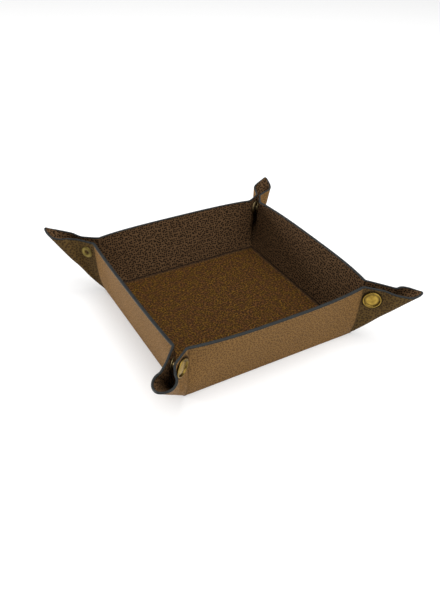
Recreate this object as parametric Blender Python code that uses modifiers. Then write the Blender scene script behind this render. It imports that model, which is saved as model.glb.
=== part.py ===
"""Snap-corner leather dice tray, standing folded up.

A square sheet of lined leather is folded up along four creases. Each corner is pinched into an
ear by a brass press stud. Metres, +Z up, origin under the middle of the base, the front wall
faces -Y. Each wall and each half of an ear is its own panel, so that the tray can unfold flat.
"""

import math

import bmesh
import bpy
import numpy as np
from mathutils import Matrix, Vector

# ---- driving dimensions -------------------------------------------------------------------
FLOOR_SIDE = 0.122          # crease to crease, at the middle of the sheet
WALL_HEIGHT = 0.039         # crease to rim, along the wall
LEATHER = 0.0007            # one leather sheet
BOARD = 0.0004              # stiffening board
GLUE_GAP = 0.0003           # clearance between neighbouring pieces
END_LEAN = math.radians(82.0)       # wall slope at its ends, where the studs hold it
BOW_POWER = 3.0             # how the slope runs from the middle to the ends
TIP_ROUNDING = 0.0015       # corner radius of the flat sheet

# wall slope half way along, where each wall has bowed out by its own amount
MIDDLE_LEANS = {"front": 77.0, "right": 75.5, "back": 74.0, "left": 80.5}

# ---- the ears, in degrees of the flat sheet round the floor corner ---------------------------
NECK_END = 25.5             # flat part of each half, from the wall's end line
EARS = {                    # middle of the bend, its arc, and how far the point curls up
    "front_left": (44.5, 33.0, 0.0),
    "front_right": (48.5, 25.0, -0.002),
    "back_right": (45.5, 33.0, 0.010),
    "back_left": (49.0, 24.0, 0.0135),
}
EAR_START = 0.005           # the ear panels begin this far from the floor corner
TIP_START = 0.014           # the curled tips begin this far from the floor corner
TIP_GAP = 0.0008            # between a flat neck and its curled tip, which bends away sharply
PINCH_HEIGHT = 0.6          # share of the wall's height above which the ear halves are parallel
PINCH_FADE = 0.024          # length of wall that follows the pinched corner
MOST_TURN = 0.3             # largest step of the curl's solution, in radians

# ---- press studs ----------------------------------------------------------------------------
STUD_PAST_WALL = 0.0067      # from the wall's end line
STUD_UP = 0.031             # from the floor crease
CAP_RADIUS = 0.0059
CAP_HEIGHT = 0.0012
SHANK_RADIUS = 0.0015
SOCKET_RADIUS = 0.0052
SOCKET_BORE = 0.0028
SOCKET_PLATE = 0.0006
KNOB_RADIUS = 0.0025
STUD_RADIUS = 0.0046
STUD_FLANGE = 0.0008
EYELET_RADIUS = 0.0043
EYELET_TUBE = 0.0019
EYELET_HOLE = 0.0014
LEATHER_HOLE = 0.0023
TURN_STEPS = 16

# ---- worked out from the above ---------------------------------------------------------------
HALF = FLOOR_SIDE / 2
LAYER_START = BOARD / 2 + GLUE_GAP          # wall sheets begin this far from the middle surface
LAYER_END = LAYER_START + LEATHER
EAR_LAYER_START = GLUE_GAP / 2
EAR_LAYER_END = EAR_LAYER_START + LEATHER
FLOOR_LEVEL = LAYER_END                     # middle of the base sheet above the table
PINCH = WALL_HEIGHT * math.cos(END_LEAN) / math.sqrt(2)     # ear half to the corner's diagonal
DIAGONAL = Vector((1, 1, 0)).normalized()
ACROSS = Vector((-1, 1, 0)).normalized()    # from the diagonal plane towards the first ear half
WALL_UP = Vector((0, math.cos(END_LEAN), math.sin(END_LEAN)))
WALL_OUT = Vector((0, math.sin(END_LEAN), -math.cos(END_LEAN)))
EAR_TURN = math.atan(1 / math.sin(END_LEAN))
EAR_ALONG = Vector((1, 0, 0)) * math.cos(EAR_TURN) + WALL_OUT * math.sin(EAR_TURN)
NECK = math.radians(NECK_END)

CORNERS = {
    "front_left": (-1, -1),
    "front_right": (1, -1),
    "back_right": (1, 1),
    "back_left": (-1, 1),
}
WALL_ANGLES = {"front": 0.0, "right": 90.0, "back": 180.0, "left": 270.0}


# ---- scene and materials ----------------------------------------------------------------------
def clear_scene():
    for obj in list(bpy.data.objects):
        bpy.data.objects.remove(obj, do_unlink=True)


def new_collection(name):
    collection = bpy.data.collections.new(name)
    bpy.context.scene.collection.children.link(collection)
    return collection


def principled(name, colour, roughness, metallic=0.0):
    material = bpy.data.materials.new(name)
    material.use_nodes = True
    shader = material.node_tree.nodes["Principled BSDF"]
    shader.inputs["Base Color"].default_value = (*colour, 1.0)
    shader.inputs["Roughness"].default_value = roughness
    shader.inputs["Metallic"].default_value = metallic
    return material


# ---- the curl of an ear ---------------------------------------------------------------------------
def swapped(vector):
    """Mirror in a corner's diagonal plane: from one wall's axes to the other's."""
    return Vector((vector.y, vector.x, vector.z))


def follow(point, heading, arc, bend):
    """Along a circle on the unit sphere, which is a stretch of cone round the floor corner.

    Bend is the turn to the left for each radian of arc.
    """
    axis = point.cross(heading) + point * bend
    move = Matrix.Rotation(axis.length * arc, 3, axis)
    return move @ point, move @ heading


def neck_direction():
    point = WALL_UP * math.cos(NECK) + EAR_ALONG * math.sin(NECK)
    heading = EAR_ALONG * math.cos(NECK) - WALL_UP * math.sin(NECK)
    return point, heading


def curl_miss(arcs, turns):
    """How far the curl ends from the other half's neck, along it and across it, and its turn."""
    point, heading = neck_direction()
    goal, goal_heading = (swapped(vector) for vector in (point, -heading))
    goal_side = goal.cross(goal_heading)
    for arc, turn in zip(arcs, turns):
        point, heading = follow(point, heading, arc, turn / arc)
    off = point - goal
    return np.array([off.dot(goal_heading), off.dot(goal_side), heading.dot(goal_side)])


def solve_curl(corner):
    """Newton steps to three stretches of cone that join both halves of an ear smoothly.

    Starts from the even curl whose outer stretches each splay by 30 degrees. Returns each
    stretch as its first flat angle, its first direction and heading, and its bend.
    """
    middle, spread, _ = (math.radians(value) for value in EARS[corner])
    first = middle - spread / 2 - NECK
    last = math.pi / 2 - NECK - middle - spread / 2
    arcs = (first, spread, last)
    splay = math.radians(30)
    turns = np.array([splay, -math.pi - 2 * splay, splay])
    nudge = 1e-4
    for _ in range(40):
        miss = curl_miss(arcs, turns)
        slopes = [(curl_miss(arcs, turns + nudge * step) - miss) / nudge for step in np.eye(3)]
        change = np.linalg.solve(np.array(slopes).T, miss)
        turns -= change / max(1.0, np.abs(change).max() / MOST_TURN)
    state = neck_direction()
    angle = NECK
    stretches = []
    for arc, turn in zip(arcs, turns):
        stretches.append((angle, *state, float(turn / arc)))
        state = follow(*state, arc, turn / arc)
        angle += arc
    return stretches


def curl_direction(stretches, first, angle):
    """Direction and heading in one half's own axes, at a flat angle from its wall's end line."""
    place = angle if first else math.pi / 2 - angle
    start, point, heading, bend = [s for s in stretches if s[0] <= place + 1e-9][-1]
    point, heading = follow(point, heading, place - start, bend)
    if first:
        return point, heading
    return swapped(point), -swapped(heading)


# ---- the folded sheet ------------------------------------------------------------------------------
def smooth(share):
    share = min(max(share, 0.0), 1.0)
    return share * share * (3 - 2 * share)


def pinch_bulge(up):
    """Outward shift that keeps both halves of an ear apart right down to the floor corner."""
    share = min(max(up / WALL_HEIGHT, 0.0), 1.0)
    parallel = 1 - (1 - min(share / PINCH_HEIGHT, 1.0)) ** 3
    return math.sqrt(2) * PINCH * (parallel - share)


def rim_distance(angle):
    """Floor corner to the edge of the sheet, at an angle past the wall's end line."""
    straight = WALL_HEIGHT / math.cos(angle)
    centre = WALL_HEIGHT - TIP_ROUNDING
    if straight * math.sin(angle) <= centre:
        return straight
    along = centre * (math.sin(angle) + math.cos(angle))
    return along + math.sqrt(along * along - 2 * centre * centre + TIP_ROUNDING ** 2)


def lifted(point, lift):
    """An ear curls up, or droops, towards its point."""
    reach = max(point.dot(DIAGONAL), 0.0) / (WALL_HEIGHT * math.sqrt(2))
    return point + Vector((0, 0, lift * reach * reach))


def wall_point(wall, along, up):
    """Middle of a wall's sheet: x along the wall, y outward from the crease, z up."""
    near_end = min(abs(along) / HALF, 1.0) ** BOW_POWER
    middle = math.radians(MIDDLE_LEANS[wall])
    lean = middle + (END_LEAN - middle) * near_end
    fade = smooth(1 - (HALF - abs(along)) / PINCH_FADE)
    outward = up * math.cos(lean) + pinch_bulge(up) * fade
    return Vector((along, outward, up * math.sin(lean)))


def neck_point(angle, distance, lift):
    """Middle of an ear half's flat neck, from the floor corner."""
    up = distance * math.cos(angle)
    flat = EAR_ALONG * (distance * math.sin(angle)) + WALL_UP * up
    return lifted(flat + Vector((0, pinch_bulge(up), 0)), lift)


def tip_point(stretches, first, angle, distance, lift):
    """Middle of an ear half's curled tip, from the floor corner."""
    direction = curl_direction(stretches, first, angle)[0]
    share = (angle - NECK) / (math.pi / 4 - NECK)
    bulge = pinch_bulge(distance * math.cos(angle)) * (1 - smooth(share))
    return lifted(direction * distance + Vector((0, bulge, 0)), lift)


def hem(wall):
    """How far a wall's outer leather reaches down past its crease, to just above the table."""
    lean = math.radians(MIDDLE_LEANS[wall])
    return (FLOOR_LEVEL - GLUE_GAP - LAYER_END * math.cos(lean)) / math.sin(lean)


def hem_inside(wall):
    """How far outside the crease line the hem's inner edge ends."""
    lean = math.radians(MIDDLE_LEANS[wall])
    return LAYER_START * math.sin(lean) - hem(wall) * math.cos(lean)


# ---- placing ------------------------------------------------------------------------------------
def wall_frame(wall):
    """Wall axes (along, outward, up) to the world, for the four walls in turn."""
    turn = Matrix.Rotation(math.radians(WALL_ANGLES[wall]), 4, "Z")
    front = Matrix(((1, 0, 0, 0), (0, -1, 0, -HALF), (0, 0, 1, FLOOR_LEVEL), (0, 0, 0, 1)))
    return turn @ front


def corner_frame(corner, first):
    """Corner axes to the world; the first half belongs to the front or back wall."""
    sx, sy = CORNERS[corner]
    if first:
        rows = ((sx, 0, 0, sx * HALF), (0, sy, 0, sy * HALF))
    else:
        rows = ((0, sx, 0, sx * HALF), (sy, 0, 0, sy * HALF))
    return Matrix((*rows, (0, 0, 1, FLOOR_LEVEL), (0, 0, 0, 1)))


def ear_wall(corner, first):
    """The wall that an ear half continues."""
    sx, sy = CORNERS[corner]
    if first:
        return "front" if sy < 0 else "back"
    return "left" if sx < 0 else "right"


# ---- solids ---------------------------------------------------------------------------------------
def sheet(name, shape, frame, columns, rows, inner, outer, material, collection):
    """A panel: a grid bent by shape(across, up) and thickened from inner to outer."""
    mesh = bpy.data.meshes.new(name)
    bm = bmesh.new()
    bmesh.ops.create_grid(bm, x_segments=columns, y_segments=rows, size=0.5)
    for vertex in bm.verts:
        vertex.co = frame @ shape(vertex.co.x + 0.5, vertex.co.y + 0.5)
    if frame.determinant() > 0:
        bmesh.ops.reverse_faces(bm, faces=bm.faces)
    bm.to_mesh(mesh)
    bm.free()
    mesh.materials.append(material)
    obj = bpy.data.objects.new(name, mesh)
    collection.objects.link(obj)
    solid = obj.modifiers.new("thickness", "SOLIDIFY")
    solid.thickness = outer - inner
    solid.offset = (outer + inner) / (outer - inner)
    return obj


def box(name, size, centre, material, collection):
    mesh = bpy.data.meshes.new(name)
    bm = bmesh.new()
    bmesh.ops.create_cube(bm, size=1.0)
    bmesh.ops.scale(bm, vec=size, verts=bm.verts)
    bm.to_mesh(mesh)
    bm.free()
    mesh.materials.append(material)
    obj = bpy.data.objects.new(name, mesh)
    obj.location = centre
    collection.objects.link(obj)
    return obj


def turned(name, profile, closed, frame, material, collection):
    """A turned brass piece: (radius, height) points screwed round the local Z axis."""
    mesh = bpy.data.meshes.new(name)
    count = len(profile)
    edges = [(i, i + 1) for i in range(count - 1)]
    if closed:
        edges.append((count - 1, 0))
    mesh.from_pydata([(radius, 0, height) for radius, height in profile], edges, [])
    mesh.materials.append(material)
    obj = bpy.data.objects.new(name, mesh)
    obj.matrix_world = frame
    collection.objects.link(obj)
    screw = obj.modifiers.new("turn", "SCREW")
    screw.axis = "Z"
    screw.steps = TURN_STEPS
    screw.render_steps = TURN_STEPS
    screw.use_merge_vertices = True
    screw.merge_threshold = 0.00001
    return obj


def punch(obj, cutter):
    cut = obj.modifiers.new("stud hole", "BOOLEAN")
    cut.operation = "DIFFERENCE"
    cut.solver = "EXACT"
    cut.object = cutter


# ---- the base and the walls -----------------------------------------------------------------------
def make_base(materials, collection):
    tucked = 2 * (HALF + min(hem_inside(wall) for wall in MIDDLE_LEANS) - GLUE_GAP)
    box("base_outer", (tucked, tucked, LEATHER), (0, 0, LEATHER / 2),
        materials["outer"], collection)
    board = 2 * (HALF - LAYER_START)
    box("base_board", (board, board, BOARD), (0, 0, FLOOR_LEVEL), materials["board"], collection)
    lining = 2 * (HALF - LAYER_END - GLUE_GAP)
    box("base_lining", (lining, lining, LEATHER), (0, 0, FLOOR_LEVEL + LAYER_END - LEATHER / 2),
        materials["lining"], collection)


def make_wall(wall, materials, collection):
    frame = wall_frame(wall)
    mitre = math.tan(EAR_TURN / 2)
    layers = (
        ("outer", LAYER_START, LAYER_END, -hem(wall), LAYER_END * mitre + GLUE_GAP),
        ("board", -BOARD / 2, BOARD / 2, -BOARD / 2, BOARD + GLUE_GAP),
        ("lining", -LAYER_END, -LAYER_START, LAYER_START, GLUE_GAP),
    )
    for layer, inner, outer, bottom, trim in layers:
        def shape(across, up, bottom=bottom, trim=trim, inner=inner):
            height = bottom + up * (WALL_HEIGHT - bottom)
            corner_room = wall_point(wall, HALF, height).y + inner
            end = HALF - max(trim, GLUE_GAP - corner_room)
            return wall_point(wall, (2 * across - 1) * end, height)

        sheet(f"{wall}_wall_{layer}", shape, frame, 10, 4, inner, outer,
              materials[layer], collection)


# ---- the ears ----------------------------------------------------------------------------------------
def make_ear(corner, first, stretches, cutter, materials, collection):
    frame = corner_frame(corner, first)
    name = f"{corner}_{ear_wall(corner, first)}_ear"
    lift = EARS[corner][2]
    mitre = math.tan(EAR_TURN / 2)
    layers = (
        ("outer", EAR_LAYER_START, EAR_LAYER_END, LAYER_END * mitre + GLUE_GAP),
        ("lining", -EAR_LAYER_END, -EAR_LAYER_START, GLUE_GAP),
    )
    for layer, inner, outer, trim in layers:
        def neck_shape(across, up, trim=trim):
            low = EAR_START + up * (WALL_HEIGHT - EAR_START)
            start = math.atan(trim / low)
            angle = start + across * (NECK - TIP_GAP / 2 / low - start)
            return neck_point(angle, EAR_START + up * (rim_distance(angle) - EAR_START), lift)

        panel = sheet(f"{name}_{layer}", neck_shape, frame, 3, 6, inner, outer,
                      materials[layer], collection)
        punch(panel, cutter)

    def tip_shape(across, up):
        end = math.pi / 4
        distance = TIP_START + up * (rim_distance(NECK + across * (end - NECK)) - TIP_START)
        start = NECK + TIP_GAP / 2 / distance
        angle = start + across * (end - GLUE_GAP / 2 / distance - start)
        return tip_point(stretches, first, angle, distance, lift)

    sheet(f"{name}_tip", tip_shape, frame, 10, 4, -EAR_LAYER_END, EAR_LAYER_END,
          materials["outer"], collection)


# ---- the press studs ------------------------------------------------------------------------------------
def stud_frame(corner, first):
    """Stud axes: origin on the corner's diagonal plane, +Z out through one ear half."""
    angle = math.atan(STUD_PAST_WALL / STUD_UP)
    place = neck_point(angle, math.hypot(STUD_PAST_WALL, STUD_UP), EARS[corner][2])
    place -= ACROSS * place.dot(ACROSS)
    turn = ACROSS.to_track_quat("Z", "X").to_matrix().to_4x4()
    frame = corner_frame(corner, first) @ Matrix.Translation(place) @ turn
    if frame.determinant() < 0:
        frame = frame @ Matrix.Scale(-1, 4, (1, 0, 0))
    return frame


def make_studs(corner, materials, collection):
    leather_out = PINCH + EAR_LAYER_END + GLUE_GAP
    leather_in = PINCH - EAR_LAYER_END - GLUE_GAP
    plate = leather_in - SOCKET_PLATE
    socket_face = -GLUE_GAP
    stud_face = -leather_in + STUD_FLANGE

    cap = (
        (0, leather_out + CAP_HEIGHT),
        (CAP_RADIUS * 0.55, leather_out + CAP_HEIGHT * 0.94),
        (CAP_RADIUS * 0.86, leather_out + CAP_HEIGHT * 0.72),
        (CAP_RADIUS, leather_out + CAP_HEIGHT * 0.35),
        (CAP_RADIUS * 0.97, leather_out),
        (SHANK_RADIUS, leather_out),
        (SHANK_RADIUS, plate + GLUE_GAP / 2),
        (0, plate + GLUE_GAP / 2),
    )
    socket = (
        (SOCKET_RADIUS, leather_in),
        (SOCKET_RADIUS, plate),
        (SOCKET_RADIUS * 0.78, socket_face),
        (SOCKET_BORE, socket_face),
        (SOCKET_BORE, plate),
        (SHANK_RADIUS + GLUE_GAP, plate),
        (SHANK_RADIUS + GLUE_GAP, leather_in),
    )
    stud = (
        (0, leather_in),
        (STUD_RADIUS, leather_in),
        (STUD_RADIUS, -stud_face),
        (KNOB_RADIUS * 0.9, -stud_face),
        (KNOB_RADIUS, -plate + GLUE_GAP * 3),
        (KNOB_RADIUS * 0.8, -plate + GLUE_GAP),
        (0, -plate + GLUE_GAP),
    )
    eyelet = (
        (EYELET_HOLE, leather_out + CAP_HEIGHT * 0.3),
        (EYELET_HOLE * 1.5, leather_out + CAP_HEIGHT * 0.55),
        (EYELET_RADIUS * 0.9, leather_out + CAP_HEIGHT * 0.4),
        (EYELET_RADIUS, leather_out),
        (EYELET_TUBE, leather_out),
        (EYELET_TUBE, leather_in + GLUE_GAP),
        (EYELET_HOLE, leather_in + GLUE_GAP),
    )
    first = stud_frame(corner, True)
    second = stud_frame(corner, False)
    brass = materials["brass"]
    turned(f"{corner}_snap_cap", cap, False, first, brass, collection)
    turned(f"{corner}_snap_socket", socket, True, first, brass, collection)
    turned(f"{corner}_snap_stud", stud, False, second, brass, collection)
    turned(f"{corner}_snap_eyelet", eyelet, True, second, brass, collection)


def make_cutter(corner, cutters):
    """A rod through both ear halves, where the leather is punched for the stud."""
    mesh = bpy.data.meshes.new(f"{corner}_punch")
    bm = bmesh.new()
    bmesh.ops.create_cone(bm, cap_ends=True, segments=TURN_STEPS, radius1=LEATHER_HOLE,
                          radius2=LEATHER_HOLE, depth=6 * PINCH)
    bm.to_mesh(mesh)
    bm.free()
    cutter = bpy.data.objects.new(f"{corner}_punch", mesh)
    cutter.matrix_world = stud_frame(corner, True)
    cutter.hide_render = True
    cutter.display_type = "WIRE"
    cutters.objects.link(cutter)
    return cutter


def main():
    clear_scene()
    tray = new_collection("dice_tray")
    cutters = new_collection("cutters")
    materials = {
        "outer": principled("outer_leather", (0.17, 0.098, 0.05), 0.6),
        "lining": principled("lining_leather", (0.045, 0.024, 0.014), 0.55),
        "board": principled("stiffening_board", (0.24, 0.2, 0.15), 0.9),
        "brass": principled("brass", (0.55, 0.4, 0.16), 0.3, 1.0),
    }
    make_base(materials, tray)
    for wall in WALL_ANGLES:
        make_wall(wall, materials, tray)
    for corner in CORNERS:
        cutter = make_cutter(corner, cutters)
        stretches = solve_curl(corner)
        for first in (True, False):
            make_ear(corner, first, stretches, cutter, materials, tray)
        make_studs(corner, materials, tray)


if __name__ == "__main__":
    main()
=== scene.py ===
"""Looks of the snap-corner leather dice tray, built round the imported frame.

The leather sheet is made again as fine panels that follow the CAD's folded surface. Each panel
has an outer leather, a lining and a painted edge, with the flat sheet's coordinates as its UVs,
so that the grain runs on over every fold.
"""

import math

import bpy
import numpy as np
from mathutils import Matrix, Vector


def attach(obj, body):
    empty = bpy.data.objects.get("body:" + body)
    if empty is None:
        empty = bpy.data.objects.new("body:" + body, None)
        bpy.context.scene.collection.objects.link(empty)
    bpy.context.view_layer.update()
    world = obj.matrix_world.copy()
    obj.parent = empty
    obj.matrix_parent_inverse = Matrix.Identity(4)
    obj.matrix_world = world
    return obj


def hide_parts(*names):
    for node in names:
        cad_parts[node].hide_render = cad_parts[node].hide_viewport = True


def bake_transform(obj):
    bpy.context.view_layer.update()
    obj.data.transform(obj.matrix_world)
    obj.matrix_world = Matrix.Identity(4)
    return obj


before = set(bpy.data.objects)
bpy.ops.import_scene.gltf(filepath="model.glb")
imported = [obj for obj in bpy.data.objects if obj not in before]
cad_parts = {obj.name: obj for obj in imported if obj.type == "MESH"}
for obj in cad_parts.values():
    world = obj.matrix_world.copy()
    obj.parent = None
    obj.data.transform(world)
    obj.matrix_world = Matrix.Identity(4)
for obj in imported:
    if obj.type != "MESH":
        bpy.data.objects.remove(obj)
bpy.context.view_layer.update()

# ---- sizes of the CAD's folded sheet --------------------------------------------------------
HALF = 0.061                # middle of the base to a crease
WALL_HEIGHT = 0.039
WALL_SKIN = 0.0012          # middle of a wall to its face
EAR_SKIN = 0.00082          # middle of an ear to its face
RIM_THINNING = 0.24         # share of its thickness the leather loses up to the rim
FLOOR_LEVEL = WALL_SKIN
END_LEAN = math.radians(82.0)
MIDDLE_LEANS = {"front": 77.0, "right": 75.5, "back": 74.0, "left": 80.5}
BOW_POWER = 3.0             # how late a wall straightens towards its ends
TIP_ROUNDING = 0.0015
NECK = math.radians(25.5)   # flat angle past a wall's end at which its ear begins to curl
EARS = {                    # middle of the bend, its arc, and how far the point curls up
    "front_left": (44.5, 33.0, 0.0),
    "front_right": (48.5, 25.0, -0.002),
    "back_right": (45.5, 33.0, 0.010),
    "back_left": (49.0, 24.0, 0.0135),
}
PULLS = {                   # how far the stud draws in the cap's half and the other half
    "front_left": (0.0024, 0.0004),
    "front_right": (0.0014, 0.0),
    "back_right": (0.0026, 0.0026),
    "back_left": (0.0018, 0.0018),
}
PINCH_HEIGHT = 0.6          # share of the height past which an ear's halves run parallel
PINCH_FADE = 0.024          # stretch of a wall's end that bulges with its ear
BULGE = 0.6                 # share of the shift that soft leather needs
SPLAY = math.radians(30)    # first guess at how far an ear's halves turn apart
MOST_TURN = 0.3             # largest step of the curl's solution, in radians
CURL_STEPS = 240
STUD_PAST_WALL = 0.0067     # a press stud's middle, from the wall's end line
STUD_UP = 0.031             # and from the crease under the wall
SQUEEZE_AT = 0.012          # where the stud draws an ear in most, from the wall's end line
SQUEEZE_END = 0.021
SQUEEZE_LOW = 0.010         # heights on the sheet between which the pull grows
SQUEEZE_HIGH = 0.026
PINCH = WALL_HEIGHT * math.cos(END_LEAN) / math.sqrt(2)
DIAGONAL = np.array([1.0, 1.0, 0.0]) / math.sqrt(2)
ACROSS = np.array([-1.0, 1.0, 0.0]) / math.sqrt(2)
WALL_UP = np.array([0.0, math.cos(END_LEAN), math.sin(END_LEAN)])
WALL_OUT = np.array([0.0, math.sin(END_LEAN), -math.cos(END_LEAN)])
EAR_TURN = math.atan(1 / math.sin(END_LEAN))
EAR_ALONG = np.array([1.0, 0.0, 0.0]) * math.cos(EAR_TURN) + WALL_OUT * math.sin(EAR_TURN)

CORNERS = {
    "front_left": (-1, -1),
    "front_right": (1, -1),
    "back_right": (1, 1),
    "back_left": (-1, 1),
}
WALL_ANGLES = {"front": 0.0, "right": 90.0, "back": 180.0, "left": 270.0}

# ---- looks ----------------------------------------------------------------------------------
CREASE = 0.0012             # half the width of the crease beside an ear
OUTER_FOLD = 0.0013         # half the width of the fold under a wall, outside
INNER_FOLD = 0.0008         # the same inside
FLOOR_STRIP = 0.005         # part of the floor that belongs to a wall's piece
WALL_COLUMNS = 72
WALL_ROWS = 26
EAR_ROWS = 40
TIP_COLUMNS = 44
SKIN_FADE = 0.004           # stretch in which the sheet thins beside a crease
SKIN_INSIDE = 0.02          # share of its depth at which a skin ends inside the sheet
EAR_START = 0.0008          # an ear's first row of points, from the floor corner
ROW_GROWTH = 1.2            # rows lie closer together towards the floor corner
CREASE_SHARE = 0.2          # share of an ear's columns that the crease takes
GATHER_PLACE = HALF - 0.0006
GATHER_RADIUS = 0.002
GATHER_HEIGHT = 0.0011
END_RADIUS = 0.0012         # the gathered end of each wall's crease
END_BACK = 0.0010           # its middle, back from the wall's end
END_UP = 0.0004             # and up from the floor's middle
PLATE_LAP = 0.0003          # the base's outer leather passes the crease by this much
EDGE_PROUD = 0.00045        # how far the painted edge stands out
EDGE_LIP = 0.0003           # how far it reaches back over the leather
EDGE_COAT = 0.00005
WELD = 0.00002              # gap between the two leathers of the base
CLEAR = 0.00003             # keeps the base's faces off the table and the walls' strips
SHEET_SIDE = 0.2            # the flat sheet, which the UVs cover
STUD_SIDE = 0.014           # the square round a press stud, which its own UVs cover
CAP_SHADE = (0.0063, 0.0074)         # where the painted shade round a cap fades out
SHARP_LEATHER = 40.0        # angles, in degrees, past which a mesh is shaded with an edge
SHARP_PAINT = 50.0
SHARP_BRASS = 35.0

COLOURS = {
    "floor_gold": (0.138, 0.068, 0.011),
    "floor_red": (0.128, 0.050, 0.012),
    "lining": (0.112, 0.063, 0.030),
    "lining_speckle": (0.030, 0.014, 0.005),
    "lining_patch": (0.060, 0.032, 0.014),
    "lining_pit": (0.008, 0.005, 0.003),
    "lining_crease_shade": (0.011, 0.007, 0.005),
    "tan_light": (0.205, 0.110, 0.036),
    "tan_deep": (0.162, 0.087, 0.030),
    "ear_light": (0.098, 0.060, 0.019),
    "ear_deep": (0.078, 0.046, 0.015),
    "tan_speckle": (0.085, 0.045, 0.018),
    "tan_pit": (0.035, 0.020, 0.009),
    "tan_crease_shade": (0.045, 0.026, 0.012),
    "cap_ring_shade": (0.015, 0.009, 0.003),
    "paint": (0.005, 0.006, 0.006),
    "paint_highlight": (0.016, 0.019, 0.019),
    "brass_groove_shade": (0.035, 0.022, 0.008),
}

STAGE_SIZE = 3.0
STAGE_SHADE = 0.62
STAGE_GLOW = 0.36
STAGE_DROP = 0.0001
SKY = 0.45
LAMPS = {                   # place, size and power
    "left": ((-1.2, 1.05, 0.16), 0.45, 22),
    "front": ((0.42, -0.95, 0.73), 1.1, 7.6),
    "top": ((0.15, -0.1, 1.45), 1.3, 21),
}


# ---- the curl of an ear ---------------------------------------------------------------------
def smooth(share):
    share = np.clip(share, 0.0, 1.0)
    return share * share * (3 - 2 * share)


def swapped(vector):
    """Mirror in a corner's diagonal plane: from one wall's axes to the other's."""
    return vector[[1, 0, 2]]


def rotate(vector, axis, angle):
    """Rodrigues' rotation of one vector about a unit axis."""
    return (vector * math.cos(angle) + np.cross(axis, vector) * math.sin(angle)
            + axis * axis.dot(vector) * (1 - math.cos(angle)))


def follow(point, heading, arc, bend):
    """Along a circle on the unit sphere, which is a stretch of cone round the floor corner."""
    axis = np.cross(point, heading) + point * bend
    size = np.linalg.norm(axis)
    return rotate(point, axis / size, size * arc), rotate(heading, axis / size, size * arc)


def neck_direction():
    point = WALL_UP * math.cos(NECK) + EAR_ALONG * math.sin(NECK)
    heading = EAR_ALONG * math.cos(NECK) - WALL_UP * math.sin(NECK)
    return point, heading


def curl_miss(arcs, turns):
    """How far the curl ends from the other half's neck, along it and across it, and its turn."""
    point, heading = neck_direction()
    goal, goal_heading = swapped(point), -swapped(heading)
    goal_side = np.cross(goal, goal_heading)
    for arc, turn in zip(arcs, turns):
        point, heading = follow(point, heading, arc, turn / arc)
    off = point - goal
    return np.array([off.dot(goal_heading), off.dot(goal_side), heading.dot(goal_side)])


def solve_curl(corner):
    """Newton steps to three stretches of cone that join both halves of an ear smoothly.

    Returns each stretch as its first flat angle, its first direction and heading, and its bend.
    """
    middle, spread, _ = (math.radians(value) for value in EARS[corner])
    first = middle - spread / 2 - NECK
    last = math.pi / 2 - NECK - middle - spread / 2
    arcs = (first, spread, last)
    turns = np.array([SPLAY, -math.pi - 2 * SPLAY, SPLAY])
    nudge = 1e-4
    for _ in range(40):
        miss = curl_miss(arcs, turns)
        slopes = [(curl_miss(arcs, turns + nudge * step) - miss) / nudge for step in np.eye(3)]
        change = np.linalg.solve(np.array(slopes).T, miss)
        turns -= change / max(1.0, np.abs(change).max() / MOST_TURN)
    state = neck_direction()
    angle = NECK
    stretches = []
    for arc, turn in zip(arcs, turns):
        stretches.append((angle, *state, float(turn / arc)))
        state = follow(*state, arc, turn / arc)
        angle += arc
    return stretches


def curl_at(stretches, first, angle):
    """Direction and bend in one half's own axes, at a flat angle from its wall's end line."""
    place = angle if first else math.pi / 2 - angle
    start, point, heading, bend = [s for s in stretches if s[0] <= place + 1e-9][-1]
    point = follow(point, heading, place - start, bend)[0]
    return (point if first else swapped(point)), bend


def curl_table(corner, first):
    """Flat angles, directions and bends at even steps from the neck's end to the diagonal."""
    stretches = solve_curl(corner)
    angles = np.linspace(NECK, math.pi / 4, CURL_STEPS + 1)
    rows = [curl_at(stretches, first, angle) for angle in angles]
    return angles, np.array([row[0] for row in rows]), np.array([row[1] for row in rows])


# ---- the folded surface ---------------------------------------------------------------------
def pinch_bulge(up):
    """Outward shift that keeps both halves of an ear apart right down to the floor corner."""
    share = np.clip(up / WALL_HEIGHT, 0.0, 1.0)
    parallel = 1 - (1 - np.minimum(share / PINCH_HEIGHT, 1.0)) ** 3
    return math.sqrt(2) * PINCH * (parallel - share) * BULGE


def rim_distance(angle):
    """Floor corner to the edge of the sheet, at an angle past the wall's end line."""
    angle = np.asarray(angle, float)
    straight = WALL_HEIGHT / np.cos(angle)
    centre = WALL_HEIGHT - TIP_ROUNDING
    along = centre * (np.sin(angle) + np.cos(angle))
    inside = np.maximum(along * along - 2 * centre * centre + TIP_ROUNDING ** 2, 0.0)
    rounded = along + np.sqrt(inside)
    return np.where(straight * np.sin(angle) <= centre, straight, rounded)


def vectors(*parts):
    return np.stack(np.broadcast_arrays(*parts), axis=-1)


def lifted(points, lift):
    """An ear curls up towards its point."""
    reach = np.maximum(points @ DIAGONAL, 0.0) / (WALL_HEIGHT * math.sqrt(2))
    return points + vectors(0 * reach, 0 * reach, lift * reach * reach)


def wall_lean(wall, along):
    near_end = np.minimum(np.abs(along) / HALF, 1.0) ** BOW_POWER
    middle = math.radians(MIDDLE_LEANS[wall])
    return middle + (END_LEAN - middle) * near_end


def wall_point(wall, along, up):
    """Middle of a wall's sheet: x along the wall, y outward from the crease, z up."""
    lean = wall_lean(wall, along)
    fade = smooth(1 - (HALF - np.abs(along)) / PINCH_FADE)
    return vectors(along, up * np.cos(lean) + pinch_bulge(up) * fade, up * np.sin(lean))


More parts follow.
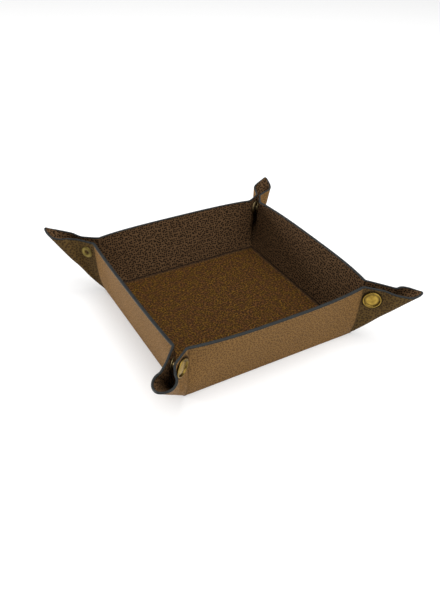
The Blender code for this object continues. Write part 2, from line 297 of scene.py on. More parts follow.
def squeezed(points, along, up, pull):
    """The stud draws an ear's halves together, most of all just past its cap."""
    rise = np.clip(along / SQUEEZE_AT, 0.0, 1.0)
    release = 1 - smooth((along - SQUEEZE_AT) / (SQUEEZE_END - SQUEEZE_AT))
    height = smooth((up - SQUEEZE_LOW) / (SQUEEZE_HIGH - SQUEEZE_LOW))
    return points - ACROSS * (pull * rise * release * height)[..., None]


def ear_set(corner, first):
    """How far an ear half's point is lifted, and how far the stud draws the half in."""
    return EARS[corner][2], PULLS[corner][0 if first else 1]


def neck_point(along, up, settled):
    """Middle of an ear half's neck: flat coordinates along and up from the floor corner."""
    flat = along[..., None] * EAR_ALONG + up[..., None] * WALL_UP
    flat = flat + vectors(0 * up, pinch_bulge(up), 0 * up)
    lift, pull = settled
    return squeezed(lifted(flat, lift), along, up, pull)


def crease_point(wall, along, up, settled):
    """Across the crease between a wall's end and its ear half, rounded."""
    share = np.clip((along + CREASE) / (2 * CREASE), 0.0, 1.0)[..., None]
    before = wall_point(wall, HALF - CREASE + 0 * up, up) - np.array([HALF, 0, 0])
    corner = wall_point(wall, HALF + 0 * up, up) - np.array([HALF, 0, 0])
    after = neck_point(CREASE + 0 * up, up, settled)
    bend = before * (1 - share) ** 2 + corner * 2 * share * (1 - share) + after * share ** 2
    return np.where((along < CREASE)[..., None], bend, neck_point(along, up, settled))


def tip_point(table, angle, distance, settled):
    """Middle of an ear half's curled tip, from the floor corner."""
    angles, directions, _ = table
    direction = np.stack([np.interp(angle, angles, directions[:, i]) for i in range(3)], axis=-1)
    beyond = np.clip(angle - math.pi / 4, 0, None) + np.clip(angle - NECK, None, 0)
    slope = np.where((angle > NECK)[..., None], directions[-1] - directions[-2],
                     directions[1] - directions[0]) / (angles[1] - angles[0])
    direction = direction + slope * beyond[..., None]
    direction /= np.linalg.norm(direction, axis=-1, keepdims=True)
    share = (angle - NECK) / (math.pi / 4 - NECK)
    bulge = pinch_bulge(distance * np.cos(angle)) * (1 - smooth(share))
    lift, pull = settled
    point = lifted(direction * distance[..., None] + vectors(0 * bulge, bulge, 0 * bulge), lift)
    return squeezed(point, distance * np.sin(angle), distance * np.cos(angle), pull)


def normals(shape, across, up, step=1e-4):
    """Unit normals of shape(across, up), pointing to the outer leather's side."""
    a = shape(across + step, up) - shape(across - step, up)
    b = shape(across, up + step) - shape(across, up - step)
    normal = np.cross(b, a)
    return normal / np.linalg.norm(normal, axis=-1, keepdims=True)


# ---- placing --------------------------------------------------------------------------------
def wall_frame(wall):
    turn = Matrix.Rotation(math.radians(WALL_ANGLES[wall]), 4, "Z")
    front = Matrix(((1, 0, 0, 0), (0, -1, 0, -HALF), (0, 0, 1, FLOOR_LEVEL), (0, 0, 0, 1)))
    return turn @ front


def corner_frame(corner, first):
    """Corner axes to the world; the first half belongs to the front or back wall."""
    sx, sy = CORNERS[corner]
    if first:
        rows = ((sx, 0, 0, sx * HALF), (0, sy, 0, sy * HALF))
    else:
        rows = ((0, sx, 0, sx * HALF), (sy, 0, 0, sy * HALF))
    return Matrix((*rows, (0, 0, 1, FLOOR_LEVEL), (0, 0, 0, 1)))


def ear_wall(corner, first):
    sx, sy = CORNERS[corner]
    if first:
        return "front" if sy < 0 else "back"
    return "left" if sx < 0 else "right"


def placed(matrix, points):
    """Local points to the world."""
    m = np.array(matrix)
    return points @ m[:3, :3].T + m[:3, 3]


def flat_uv(matrix, points):
    """Flat-sheet coordinates, from -0.1 to 0.1 m, to UVs between 0 and 1."""
    world = placed(matrix, points)
    return world[..., :2] / SHEET_SIDE + 0.5


# ---- meshes ---------------------------------------------------------------------------------
def inside_out(mesh):
    """Whether a closed mesh's faces point inward, from its signed volume."""
    mesh.calc_loop_triangles()
    places = np.empty(len(mesh.vertices) * 3)
    mesh.vertices.foreach_get("co", places)
    corners = np.empty(len(mesh.loop_triangles) * 3, int)
    mesh.loop_triangles.foreach_get("vertices", corners)
    a, b, c = places.reshape(-1, 3)[corners.reshape(-1, 3)].transpose(1, 0, 2)
    return np.sum(np.cross(a, b) * c) < 0


def mesh_object(name, points, faces, uvs, material, sharp):
    """A closed mesh object from points, faces and one UV for each point."""
    mesh = bpy.data.meshes.new(name)
    mesh.from_pydata([tuple(p) for p in points], [], [tuple(f) for f in faces])
    if inside_out(mesh):
        mesh.flip_normals()
    layer = mesh.uv_layers.new(name="sheet")
    index = np.empty(len(mesh.loops), int)
    mesh.loops.foreach_get("vertex_index", index)
    layer.data.foreach_set("uv", np.asarray(uvs, float)[index].ravel())
    mesh.materials.append(material)
    obj = bpy.data.objects.new(name, mesh)
    bpy.context.scene.collection.objects.link(obj)
    mesh.shade_smooth()
    mesh.set_sharp_from_angle(angle=math.radians(sharp))
    return obj


def slab(name, front, back, uv, material):
    """A closed slab between two grids of points with the same rows and columns."""
    rows, columns = front.shape[:2]
    count = rows * columns
    points = np.concatenate([front.reshape(-1, 3), back.reshape(-1, 3)])
    uvs = np.concatenate([uv.reshape(-1, 2), uv.reshape(-1, 2)])
    faces = []
    for r in range(rows - 1):
        for c in range(columns - 1):
            a = r * columns + c
            b = a + 1
            d = a + columns
            e = d + 1
            faces.append((a, d, e, b))
            faces.append((a + count, b + count, e + count, d + count))
    border = [(0, c) for c in range(columns)]
    border += [(r, columns - 1) for r in range(1, rows)]
    border += [(rows - 1, c) for c in range(columns - 2, -1, -1)]
    border += [(r, 0) for r in range(rows - 2, 0, -1)]
    ring = [r * columns + c for r, c in border]
    for i, a in enumerate(ring):
        b = ring[(i + 1) % len(ring)]
        faces.append((a, b, b + count, a + count))
    return mesh_object(name, points, faces, uvs, material, SHARP_LEATHER)


def bead(name, sections, uv, material):
    """A closed rod through sections, each a closed loop of points."""
    count, around = sections.shape[:2]
    points = sections.reshape(-1, 3)
    uvs = np.repeat(uv, around, axis=0)
    faces = []
    for i in range(count - 1):
        for k in range(around):
            a = i * around + k
            b = i * around + (k + 1) % around
            faces.append((a, b, b + around, a + around))
    faces.append(tuple(range(around - 1, -1, -1)))
    faces.append(tuple((count - 1) * around + k for k in range(around)))
    return mesh_object(name, points, faces, uvs, material, SHARP_PAINT)


def edge_sections(rim, normal, outward, half):
    """Loops round the sheet's cut edge: lips on both faces and a rounded, painted crown."""
    crown = [(math.cos(t), math.sin(t)) for t in np.linspace(0, math.pi, 9)]
    side = half + EDGE_COAT
    profile = [(side * c, EDGE_PROUD * s) for c, s in crown]
    profile += [(-side, -EDGE_LIP), (-half * 0.6, -EDGE_LIP * 1.2),
                (half * 0.6, -EDGE_LIP * 1.2), (side, -EDGE_LIP)]
    loops = [rim + normal * across[..., None] + outward * out for across, out in profile]
    return np.stack(loops, axis=1)


# ---- materials ------------------------------------------------------------------------------
class Nodes:
    """Short names for building a node tree."""

    def __init__(self, name):
        self.material = bpy.data.materials.new(name)
        self.material.use_nodes = True
        self.tree = self.material.node_tree
        self.shader = self.tree.nodes["Principled BSDF"]

    def add(self, kind, values=None, **settings):
        node = self.tree.nodes.new(kind)
        for key, value in settings.items():
            setattr(node, key, value)
        for key, value in (values or {}).items():
            self.put(node.inputs[key], value)
        return node

    def put(self, socket, value):
        if isinstance(value, bpy.types.NodeSocket):
            self.tree.links.new(value, socket)
        else:
            socket.default_value = value

    def math(self, operation, *values, clamp=False):
        node = self.add("ShaderNodeMath", operation=operation, use_clamp=clamp)
        for socket, value in zip(node.inputs, values):
            self.put(socket, value)
        return node.outputs[0]

    def ramp(self, value, stops):
        """Straight lines through (place, number) stops."""
        node = self.add("ShaderNodeValToRGB", {"Fac": value})
        ramp = node.color_ramp
        while len(ramp.elements) < len(stops):
            ramp.elements.new(0.5)
        for element, (place, level) in zip(ramp.elements, stops):
            element.position = place
            element.color = (level, level, level, 1.0)
        return node.outputs["Color"]

    def mix(self, factor, a, b):
        node = self.add("ShaderNodeMix", data_type="RGBA")
        self.put(node.inputs["Factor"], factor)
        for name, value in (("A", a), ("B", b)):
            socket = [s for s in node.inputs if s.name == name and s.type == "RGBA"][0]
            self.put(socket, (*value, 1.0) if isinstance(value, tuple) else value)
        return [s for s in node.outputs if s.type == "RGBA"][0]

    def tint(self, tone, share, strength, colour):
        """Mix a named colour into a tone."""
        return self.mix(self.math("MULTIPLY", share, strength), tone, COLOURS[colour])

    def noise(self, vector, scale, detail):
        values = {"Vector": vector, "Scale": scale, "Detail": detail}
        return self.add("ShaderNodeTexNoise", values).outputs["Fac"]

    def bump(self, height, strength, distance):
        values = {"Height": height, "Strength": strength, "Distance": distance}
        self.put(self.shader.inputs["Normal"], self.add("ShaderNodeBump", values).outputs["Normal"])


def sheet_place(n):
    """The UVs, and a point's place on the flat sheet from its middle, in metres."""
    uv = n.add("ShaderNodeUVMap", uv_map="sheet").outputs["UV"]
    parts = n.add("ShaderNodeSeparateXYZ", {"Vector": uv})
    u, v = [n.math("MULTIPLY", n.math("SUBTRACT", parts.outputs[i], 0.5), SHEET_SIDE)
            for i in range(2)]
    return uv, u, v


def distance(n, u, v, operation):
    """The larger (MAXIMUM) or smaller (MINIMUM) distance from the sheet's two middle lines."""
    return n.math(operation, *[n.math("ABSOLUTE", value) for value in (u, v)])


def rising(n, value, start, end):
    """0 below start, 1 above end, and straight between."""
    return n.math("MULTIPLY", n.math("SUBTRACT", value, start), 1 / (end - start), clamp=True)


def band(n, value, place, inner, outer):
    """1 near a place, fading out between two distances from it."""
    off = n.math("ABSOLUTE", n.math("SUBTRACT", value, place))
    return n.math("SUBTRACT", 1.0, rising(n, off, inner, outer))


def pits(n, uv, spacing, size, ragged, uneven):
    """Round ragged pits, one to each cell: 1 at their bottom, 0 between them."""
    per_unit = SHEET_SIDE / spacing
    cells = n.add("ShaderNodeTexVoronoi", {"Vector": uv, "Scale": per_unit, "Randomness": uneven},
                  voronoi_dimensions="2D")
    wander = n.noise(uv, per_unit * 1.7, 3.0)
    shift = n.math("MULTIPLY", n.math("SUBTRACT", wander, 0.5), ragged)
    place = n.math("ADD", cells.outputs["Distance"], shift)
    return n.ramp(place, [(size * 0.6, 1.0), (size, 0.0)])


def near_cap(n, u, v):
    """1 in the painted shade round a stud's cap, 0 away from it."""
    across = n.math("SUBTRACT", n.math("ABSOLUTE", u), HALF + STUD_PAST_WALL)
    up = n.math("SUBTRACT", n.math("ABSOLUTE", v), HALF + STUD_UP)
    squares = [n.math("POWER", value, 2.0) for value in (across, up)]
    away = n.math("SQRT", n.math("ADD", *squares))
    return n.math("SUBTRACT", 1.0, rising(n, away, *CAP_SHADE))


def surface(n, tone, height, depth, shine):
    """Colour, roughness and bump from one height, which is 1 on the leather's high places."""
    n.put(n.shader.inputs["Base Color"], tone)
    rough = n.math("ADD", n.math("MULTIPLY", height, -0.1), 0.7)
    n.put(n.shader.inputs["Roughness"], rough)
    n.shader.inputs["Specular IOR Level"].default_value = shine
    n.bump(height, 0.8, depth)


def lining_leather():
    """Dark leather: coarse crisp pits on the walls, a finer and warmer grain on the floor."""
    n = Nodes("lining_leather")
    uv, u, v = sheet_place(n)
    far = distance(n, u, v, "MAXIMUM")
    wall = rising(n, far, HALF - 0.004, HALF)
    coarse = pits(n, uv, 0.00165, 0.40, 0.14, 0.65)
    small = pits(n, uv, 0.0014, 0.46, 0.4, 0.9)
    depth = n.mix(wall, n.math("MULTIPLY", small, 0.7), coarse)
    patch = n.ramp(n.noise(uv, 40.0, 5.0), [(0.42, 0.0), (0.6, 1.0)])
    floor = n.mix(patch, COLOURS["floor_gold"], COLOURS["floor_red"])
    tone = n.mix(wall, floor, COLOURS["lining"])
    speckle = n.ramp(n.noise(uv, 170.0, 2.0), [(0.36, 0.0), (0.62, 1.0)])
    strength = n.mix(wall, (0.85, 0.85, 0.85), (0.3, 0.3, 0.3))
    tone = n.tint(tone, speckle, strength, "lining_speckle")
    tone = n.tint(tone, patch, 0.3, "lining_patch")
    tone = n.tint(tone, depth, 0.95, "lining_pit")
    # painted shade: the lining darkens in a thin line along the creases between floor and walls
    tone = n.tint(tone, band(n, far, HALF - 0.0008, 0.0003, 0.0016), 0.7, "lining_crease_shade")
    grain = n.math("SUBTRACT", n.math("MULTIPLY", n.noise(uv, 520.0, 3.0), 0.25), depth)
    surface(n, tone, n.math("ADD", grain, 1.0), 0.00045, 0.03)
    return n.material


def outer_leather():
    """Tan leather with a small grain, pitted and darker on two opposite corners' ears."""
    n = Nodes("outer_leather")
    uv, u, v = sheet_place(n)
    near = distance(n, u, v, "MINIMUM")
    opposite = rising(n, n.math("MULTIPLY", u, v), 0.0, -0.00001)
    ear = n.math("MULTIPLY", rising(n, near, HALF - 0.0022, HALF - 0.0002), opposite)
    small = pits(n, uv, 0.0014, 0.42, 0.4, 0.9)
    coarse = pits(n, uv, 0.0018, 0.42, 0.2, 0.75)
    depth = n.mix(ear, n.math("MULTIPLY", small, 0.65), coarse)
    patch = n.ramp(n.noise(uv, 7.0, 4.0), [(0.35, 0.0), (0.7, 0.6)])
    light = n.mix(patch, COLOURS["tan_light"], COLOURS["tan_deep"])
    dark = n.mix(patch, COLOURS["ear_light"], COLOURS["ear_deep"])
    speckle = n.ramp(n.noise(uv, 180.0, 2.0), [(0.45, 0.0), (0.75, 0.5)])
    tone = n.mix(speckle, n.mix(ear, light, dark), COLOURS["tan_speckle"])
    tone = n.tint(tone, depth, 0.8, "tan_pit")
    # painted shade: a thin dark line along the crease between each wall's end and its ear
    tone = n.tint(tone, band(n, near, HALF, 0.0002, 0.0012), 0.45, "tan_crease_shade")
    # painted shade: a dark ring on the leather round each stud's cap
    tone = n.tint(tone, near_cap(n, u, v), 0.85, "cap_ring_shade")
    grain = n.math("SUBTRACT", n.math("MULTIPLY", n.noise(uv, 600.0, 3.0), 0.3), depth)
    surface(n, tone, n.math("ADD", grain, 1.0), 0.00025, 0.04)
    return n.material


def edge_paint():
    """Dark blue-grey edge paint, with painted highlights in lighter patches here and there."""
    n = Nodes("edge_paint")
    coords = n.add("ShaderNodeTexCoord").outputs["Object"]
    paint_noise = n.noise(coords, 320.0, 4.0)
    # painted highlight: lighter blue-grey patches mixed into the dark paint
    highlight_patches = n.ramp(paint_noise, [(0.35, 0.0), (0.75, 1.0)])
    n.put(n.shader.inputs["Base Color"], n.mix(highlight_patches, COLOURS["paint"], COLOURS["paint_highlight"]))
    n.put(n.shader.inputs["Roughness"], n.ramp(paint_noise, [(0.3, 0.5), (0.7, 0.7)]))
    n.shader.inputs["Specular IOR Level"].default_value = 0.25
    n.bump(paint_noise, 0.4, 0.0002)
    return n.material


def brass(name, bright, aged, low_rough, high_rough, shaded_grooves=()):
    """Tarnished brass with fine scratches, with painted shade darkening its round grooves.

    A shaded groove is its radius, half its width and how dark its painted shade is.
    """
    n = Nodes(name)
    coords = n.add("ShaderNodeTexCoord").outputs["Object"]
    tarnish = n.noise(coords, 260.0, 4.0)
    tone = n.mix(n.ramp(tarnish, [(0.35, 0.0), (0.7, 1.0)]), bright, aged)
    uv = n.add("ShaderNodeUVMap", uv_map="sheet").outputs["UV"]
    middle = n.add("ShaderNodeVectorMath", {0: uv, 1: (0.5, 0.5, 0.0)}, operation="DISTANCE")
    radius = n.math("MULTIPLY", middle.outputs["Value"], STUD_SIDE)
    for place, width, dark in shaded_grooves:
        # painted shade in each round groove
        tone = n.tint(tone, band(n, radius, place, width * 0.4, width), dark, "brass_groove_shade")
    n.put(n.shader.inputs["Base Color"], tone)
    n.shader.inputs["Metallic"].default_value = 1.0
    n.put(n.shader.inputs["Roughness"], n.ramp(tarnish, [(0.3, low_rough), (0.7, high_rough)]))
    n.bump(n.noise(coords, 1500.0, 2.0), 0.15, 0.0001)
    return n.material


MATERIALS = {
    "outer": outer_leather(),
    "lining": lining_leather(),
    "edge": edge_paint(),
    # the caps carry painted shade in two rings: between the dome and its rim, and round the edge
    "brass": brass("brass", (0.40, 0.265, 0.050), (0.20, 0.125, 0.024), 0.2, 0.34,
                   ((0.0044, 0.0012, 0.6), (0.0061, 0.0005, 0.9))),
    "eyelet_brass": brass("eyelet_brass", (0.22, 0.165, 0.045), (0.12, 0.090, 0.028), 0.4, 0.55),
    # a darker copy of the brass: painted shade for the socket and stud deep between an ear's halves
    "shaded_inner_brass": brass("shaded_inner_brass", (0.24, 0.18, 0.08), (0.12, 0.09, 0.05), 0.35, 0.55),
}


# ---- the base -------------------------------------------------------------------------------
def plate(name, half, low, high, material):
    """A flat square plate."""
    line = np.linspace(-half, half, 25)
    x, y = np.meshgrid(line, line)
    uv = np.stack([x, y], axis=-1) / SHEET_SIDE + 0.5
    return slab(name, vectors(x, y, 0 * x + low), vectors(x, y, 0 * x + high), uv, material)


def gathered(name, place, radius, body, lining_side):
    """A low rounded knob of leather, its lining up (1) or down (-1) along the place's Z."""
    quarter = np.radians(np.linspace(88, 0, 8))
    for material, side in (("lining", lining_side), ("outer", -lining_side)):
        profile = [(radius * math.cos(t), side * GATHER_HEIGHT * math.sin(t)) for t in quarter]
        knob = turned(f"{name}_{material}", profile, False, place, material, on_sheet=True,
                      steps=24)
        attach(knob, body)


def make_gather(corner):
    """The leather gathered to a point where a corner's creases meet."""
    x, y = CORNERS[corner]
    place = Matrix.Translation((x * GATHER_PLACE, y * GATHER_PLACE, FLOOR_LEVEL))
    gathered(f"{corner}_gathered_leather", place, GATHER_RADIUS, "base", 1)
    for first in (True, False):
        wall = ear_wall(corner, first)
        normal = Vector(WALL_OUT).to_track_quat("Z", "X").to_matrix().to_4x4()
        end = Matrix.Translation(Vector(WALL_UP) * END_UP - Vector((END_BACK, 0, 0)))
        place = corner_frame(corner, first) @ end @ normal
        gathered(f"{corner}_{wall}_gathered_end", place, END_RADIUS, f"{wall}_wall", -1)


def make_base():
    outer = plate("base_outer_leather", HALF + PLATE_LAP, CLEAR, FLOOR_LEVEL, MATERIALS["outer"])
    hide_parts("base_outer", "base_board")
    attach(outer, "base")
    top = FLOOR_LEVEL + WALL_SKIN - CLEAR
    lining = plate("base_lining_leather", HALF - PLATE_LAP, FLOOR_LEVEL + WELD, top,
                   MATERIALS["lining"])
    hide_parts("base_lining")
    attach(lining, "base")
    for corner in CORNERS:
        make_gather(corner)


# ---- the walls ------------------------------------------------------------------------------
def wall_section(wall, along, offset, fold):
    """One face of a wall and its strip of floor, offset from the sheet's middle."""
    lean = wall_lean(wall, along)
    reach = offset * np.tan(lean / 2)
    turn_in = vectors(along, reach - fold, 0 * along - offset)
    corner = vectors(along, reach, 0 * along - offset)
    start = -reach + fold
    levels = []
    for share in np.linspace(0, 1, 4)[:-1]:
        floor_in = -FLOOR_STRIP * (1 - share) + (reach - fold) * share
        levels.append(vectors(along, floor_in, 0 * along - offset))

    def face(up):
        out = vectors(0 * along, np.sin(lean), -np.cos(lean))
        return wall_point(wall, along, up) + out * (offset * thinned(up))[:, None]

    turn_out = face(np.maximum(start, 0 * along))
    for share in np.linspace(0, 1, 7):
        levels.append(turn_in * (1 - share) ** 2 + corner * 2 * share * (1 - share)
                      + turn_out * share ** 2)
    for share in np.linspace(0, 1, WALL_ROWS)[1:]:
        up = np.maximum(start, 0 * along) * (1 - share) + WALL_HEIGHT * share
        levels.append(face(up))
    return np.stack(levels)


def section_uv(matrix, along, points):
    """Flat-sheet UVs of a wall's face: how far along, and the length up the section."""
    steps = np.linalg.norm(np.diff(points, axis=0), axis=-1)
    length = np.concatenate([0 * steps[:1], np.cumsum(steps, axis=0)])
    out = length - FLOOR_STRIP
    flat = vectors(np.broadcast_to(along, out.shape), out, 0 * out)
    return flat_uv(matrix, flat)


def thinned(up):
    """The leather is pared thinner towards its rim."""
    return 1 - RIM_THINNING * np.clip(up / WALL_HEIGHT, 0.0, 1.0)


def thickness(along):
    """Half the sheet's thickness, thinner where the board ends beside an ear."""
    near = smooth((np.abs(along) - (HALF - SKIN_FADE)) / SKIN_FADE)
    return WALL_SKIN + (0.5 * (WALL_SKIN + EAR_SKIN) - WALL_SKIN) * near


def wall_skin(wall, along, name, side, fold, nodes):
    """The outer leather or the lining of a wall, with its fold and its strip of floor."""
    matrix = wall_frame(wall)
    body = f"{wall}_wall"
    offset = side * thickness(along)
    face = wall_section(wall, along, offset, fold)
    hidden = wall_section(wall, along, offset * SKIN_INSIDE, fold)
    uv = section_uv(matrix, along, face)
    piece = slab(f"{body}_{name}_leather", placed(matrix, face), placed(matrix, hidden), uv,
                 MATERIALS[name])
    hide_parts(*nodes)
    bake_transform(piece)


def make_wall(wall):
    matrix = wall_frame(wall)
    body = f"{wall}_wall"
    along = np.linspace(-(HALF - CREASE), HALF - CREASE, WALL_COLUMNS + 1)
    wall_skin(wall, along, "outer", 1, OUTER_FOLD, (f"{body}_outer", f"{body}_board"))
    wall_skin(wall, along, "lining", -1, INNER_FOLD, (f"{body}_lining",))
    up = 0 * along + WALL_HEIGHT
    rim = wall_point(wall, along, up)
    lean = wall_lean(wall, along)
    normal = vectors(0 * along, np.sin(lean), -np.cos(lean))
    outward = vectors(0 * along, np.cos(lean), np.sin(lean))
    uv = flat_uv(matrix, vectors(along, up, 0 * up))
    sections = edge_sections(rim, normal, outward, thickness(along) * thinned(up))
    edge = bead(f"{body}_painted_edge", placed(matrix, sections), uv, MATERIALS["edge"])
    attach(edge, body)


# ---- the ears -------------------------------------------------------------------------------
def ear_thickness(along):
    near = 1 - smooth(along / SKIN_FADE)
    return EAR_SKIN + (0.5 * (WALL_SKIN + EAR_SKIN) - EAR_SKIN) * near


def ear_rows():
    """Shares of the way from an ear's first row to its rim."""
    return (np.linspace(0, 1, EAR_ROWS + 1) ** ROW_GROWTH)[:, None]


def make_skins(body, nodes, sheet, depths, uv, matrix, blend):
    """Outer leather and lining on either side of a grid of middle points and normals."""
    middle, normal = sheet
    for name, side, depth in (("outer", 1, depths[0]), ("lining", -1, depths[1])):
        face = middle + normal * depth * side
        hidden = middle + normal * depth * side * SKIN_INSIDE
        piece = slab(f"{body}_{name}_leather", placed(matrix, face), placed(matrix, hidden), uv,
                     MATERIALS[name])
        if name in nodes:
            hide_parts(nodes[name])
        blend(piece)


def make_edge(body, sheet, half, uv, matrix, blend):
    """The painted edge along the last row of a grid of middle points and normals."""
    rim, normal = sheet[0][-1], sheet[1][-1]
    tangent = np.gradient(rim, axis=0)
    tangent /= np.linalg.norm(tangent, axis=-1, keepdims=True)
    sections = edge_sections(rim, normal, np.cross(tangent, normal), half)
    edge = bead(f"{body}_painted_edge", placed(matrix, sections), uv[-1], MATERIALS["edge"])
    blend(edge)


def neck_along(share, up):
    """Distance along the ear of each share of a row, the first shares across the crease."""
    end = up * math.tan(NECK)
    crease = -CREASE + np.minimum(share / CREASE_SHARE, 1.0) * 2 * CREASE
    flat = CREASE + (share - CREASE_SHARE) / (1 - CREASE_SHARE) * (end - CREASE)
    along = np.where(share < CREASE_SHARE, crease, flat)
    return np.where(end < CREASE, -CREASE + share * (end + CREASE), along)


def make_neck(matrix, wall, body, settled):
    """The flat part of an ear half, from the crease to the ray where the curl begins."""
    rows = ear_rows()
    up = EAR_START * math.cos(NECK) * (1 - rows) + WALL_HEIGHT * rows
    columns = np.concatenate([np.linspace(0, 1, 9)[:-1] * CREASE_SHARE,
                              np.linspace(CREASE_SHARE, 1, 22)])[None, :]
    along = neck_along(columns, up)
    up = up + 0 * along

    def shape(x, y):
        return crease_point(wall, x, y, settled)

    sheet = (shape(along, up), normals(shape, along, up))
    half = ear_thickness(along) * thinned(up)
    uv = flat_uv(matrix, vectors(along, up, 0 * along))

    def blend(piece):
        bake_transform(piece)

    nodes = {"outer": f"{body}_outer", "lining": f"{body}_lining"}
    make_skins(body, nodes, sheet, (half[..., None], half[..., None]), uv, matrix, blend)
    make_edge(body, sheet, half[-1], uv, matrix, blend)


def make_tip(matrix, body, settled, table):
    """The curled part of an ear half, in polar coordinates round the floor corner."""
    rows = ear_rows()
    angle = np.linspace(NECK, math.pi / 4, TIP_COLUMNS + 1)[None, :]
    out = EAR_START + (rim_distance(angle) - EAR_START) * rows
    angle = angle + 0 * out

    def shape(x, y):
        return tip_point(table, x, y, settled)

    sheet = (shape(angle, out), normals(shape, angle, out))
    half = EAR_SKIN * thinned(out * np.cos(angle))
    bends = np.pad(np.interp(angle[0], table[0], table[2]), 2, "edge")
    rate = np.convolve(bends, np.ones(5) / 5, "valid")
    depths = [np.minimum(half, 0.8 * out / np.maximum(side * rate, 1e-3))[..., None]
              for side in (1, -1)]
    flat = vectors(out * np.sin(angle), out * np.cos(angle), 0 * out)
    uv = flat_uv(matrix, flat)

    def blend(piece):
        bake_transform(piece)

    make_skins(f"{body}_tip", {"outer": f"{body}_tip"}, sheet, depths, uv, matrix, blend)
    make_edge(f"{body}_tip", sheet, half[-1], uv, matrix, blend)


def make_ear(corner, first):
    matrix = corner_frame(corner, first)
    wall = ear_wall(corner, first)
    body = f"{corner}_{wall}_ear"
    settled = ear_set(corner, first)
    make_neck(matrix, wall, body, settled)
    make_tip(matrix, body, settled, curl_table(corner, first))


# ---- the press studs ------------------------------------------------------------------------
def stud_frame(corner, first):
    """Stud axes: origin in the middle of one ear half's sheet, +Z out of its outer face."""
    settled = ear_set(corner, first)

    def shape(along, up):
        return neck_point(along, up, settled)

    along, up = np.array([STUD_PAST_WALL]), np.array([STUD_UP])
    place = shape(along, up)[0]
    outward = Vector(normals(shape, along, up, step=0.002)[0])
    turn = outward.to_track_quat("Z", "X").to_matrix().to_4x4()
    return corner_frame(corner, first) @ Matrix.Translation(Vector(place)) @ turn


def turned(name, profile, closed, matrix, material, on_sheet=False, steps=48):
    """A turned piece from (radius, height) points, with the sheet's UVs or its own."""
    profile = np.array(profile)
    count = len(profile)
    points = []
    for i in range(steps):
        t = 2 * math.pi * i / steps
        points += [(r * math.cos(t), r * math.sin(t), z) for r, z in profile]
    faces = []
    last = count if closed else count - 1
    for i in range(steps):
        j = (i + 1) % steps
        for k in range(last):
            m = (k + 1) % count
            faces.append((i * count + k, i * count + m, j * count + m, j * count + k))
    if not closed:
        faces.append([i * count for i in range(steps)])
        faces.append([i * count + count - 1 for i in range(steps - 1, -1, -1)])
    own = np.array(points)
    points = placed(matrix, own)
    uvs = (points[:, :2] / SHEET_SIDE if on_sheet else own[:, :2] / STUD_SIDE) + 0.5
    return mesh_object(name, points, faces, uvs, MATERIALS[material], SHARP_BRASS)


def fitting(node, profile, closed, matrix, material, body):
    """One piece of a press stud, in its CAD node's place."""
    piece = turned(f"{node}_brass", profile, closed, matrix, material)
    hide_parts(node)
    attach(piece, body)


def arc(centre, radius, start, end, steps):
    """Points on a circle, in degrees."""
    angles = np.radians(np.linspace(start, end, steps))
    return [(centre[0] + radius * math.cos(a), centre[1] + radius * math.sin(a)) for a in angles]


def cap_profile(face, inside):
    """A shallow dome inside a rolled rim, and the shank under it."""
    dome = [(r, face + 0.00075 - 0.0004 * (r / 0.0044) ** 2)
            for r in np.linspace(0.0003, 0.0044, 9)]
    rim = arc((0.0053, face + 0.00055), 0.0006, 150, -50, 14)
    return dome + rim + [(0.0054, face), (0.0015, face), (0.0015, inside - 0.0005)]


def socket_profile(inside):
    """A pressed cup with a hole, its lip turned towards the stud."""
    low = inside - 0.0005
    lip = inside - 0.0014
    corner = arc((0.0047, inside - 0.0004), 0.0004, 90, 0, 5)
    cup = [(0.0049, inside - 0.0008), (0.0043, inside - 0.0013), (0.0040, lip), (0.0029, lip)]
    return corner + cup + [(0.0028, low), (0.0018, low), (0.0018, inside)]


def stud_profile(inside):
    """A flange with a rounded edge, and the waisted knob that the socket's spring grips."""
    flange = [(0.0003, inside)] + arc((0.0042, inside - 0.0003), 0.0003, 90, -90, 7)
    knob = [(0.0021, inside - 0.0007), (0.0019, inside - 0.0013), (0.0022, inside - 0.0017)]
    return flange + knob + [(0.0017, inside - 0.0021), (0.0003, inside - 0.0022)]


def eyelet_profile(face, inside):
    """A rolled ring on the outer face, and its post through the leather."""
    ring = arc((0.0029, 0.0), 0.0014, 0, 180, 15)
    ring = [(r, face + height * 0.6) for r, height in ring]
    return ring + [(0.0015, inside + 0.0003), (0.0018, inside + 0.0003), (0.0018, face)]


def make_studs(corner):
    """Heights run outward from the middle of each half's leather."""
    face = EAR_SKIN - 0.0002
    inside = -EAR_SKIN - 0.0001
    place = stud_frame(corner, True)
    body = f"{corner}_{ear_wall(corner, True)}_ear"
    fitting(f"{corner}_snap_cap", cap_profile(face, inside), False, place, "brass", body)
    fitting(f"{corner}_snap_socket", socket_profile(inside), True, place, "shaded_inner_brass", body)
    place = stud_frame(corner, False)
    body = f"{corner}_{ear_wall(corner, False)}_ear"
    fitting(f"{corner}_snap_stud", stud_profile(inside), False, place, "shaded_inner_brass", body)
    fitting(f"{corner}_snap_eyelet", eyelet_profile(face, inside), True, place, "eyelet_brass",
            body)


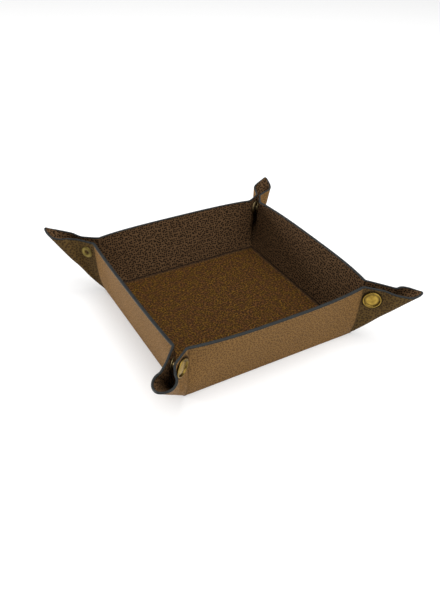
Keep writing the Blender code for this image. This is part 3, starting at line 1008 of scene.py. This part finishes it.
# ---- stage, light and camera ----------------------------------------------------------------
def make_stage():
    mesh = bpy.data.meshes.new("floor")
    corners = [(x * STAGE_SIZE, y * STAGE_SIZE, 0) for x, y in CORNERS.values()]
    mesh.from_pydata(corners, [], [(0, 1, 2, 3)])
    floor = bpy.data.objects.new("floor", mesh)
    bpy.context.scene.collection.objects.link(floor)
    material = bpy.data.materials.new("floor")
    material.use_nodes = True
    shader = material.node_tree.nodes["Principled BSDF"]
    shader.inputs["Base Color"].default_value = (STAGE_SHADE, STAGE_SHADE, STAGE_SHADE, 1)
    shader.inputs["Emission Color"].default_value = (1, 1, 1, 1)
    shader.inputs["Emission Strength"].default_value = STAGE_GLOW
    shader.inputs["Roughness"].default_value = 0.8
    mesh.materials.append(material)
    floor.location.z = -STAGE_DROP


def area_light(name, place, size, power):
    light = bpy.data.lights.new(name, "AREA")
    light.shape = "SQUARE"
    light.size = size
    light.energy = power
    obj = bpy.data.objects.new(name, light)
    obj.location = place
    obj.rotation_euler = (-Vector(place)).to_track_quat("-Z", "Y").to_euler()
    bpy.context.scene.collection.objects.link(obj)


def make_light():
    world = bpy.data.worlds.new("studio")
    world.use_nodes = True
    background = world.node_tree.nodes["Background"]
    background.inputs["Color"].default_value = (1, 1, 1, 1)
    background.inputs["Strength"].default_value = SKY
    bpy.context.scene.world = world
    for name, (place, size, power) in LAMPS.items():
        area_light(name, place, size, power)


def make_look():
    """Plain display of the colours, so that the pale floor stays nearly white."""
    bpy.context.scene.view_settings.view_transform = "Standard"


def make_camera():
    azimuth = math.radians(-30.54)
    height = math.radians(36.57)
    roll = math.radians(1.29)
    distance = 0.4181
    right = Vector((math.cos(azimuth), math.sin(azimuth), 0))
    back = Vector((math.sin(azimuth) * math.cos(height), -math.cos(azimuth) * math.cos(height),
                   math.sin(height)))
    up = back.cross(right)
    turned_right = right * math.cos(roll) + up * math.sin(roll)
    turned_up = up * math.cos(roll) - right * math.sin(roll)
    camera = bpy.data.objects.new("camera", bpy.data.cameras.new("camera"))
    matrix = Matrix((turned_right, turned_up, back)).transposed().to_4x4()
    matrix.translation = back * distance
    camera.matrix_world = matrix
    camera.data.lens = 36.38
    camera.data.sensor_width = 36
    camera.data.shift_x = -0.005
    camera.data.shift_y = 0.0173
    bpy.context.scene.collection.objects.link(camera)
    bpy.context.scene.camera = camera


make_look()
make_camera()
make_stage()
make_light()
make_base()
for wall_name in WALL_ANGLES:
    make_wall(wall_name)
for corner_name in CORNERS:
    for half_ear in (True, False):
        make_ear(corner_name, half_ear)
    make_studs(corner_name)
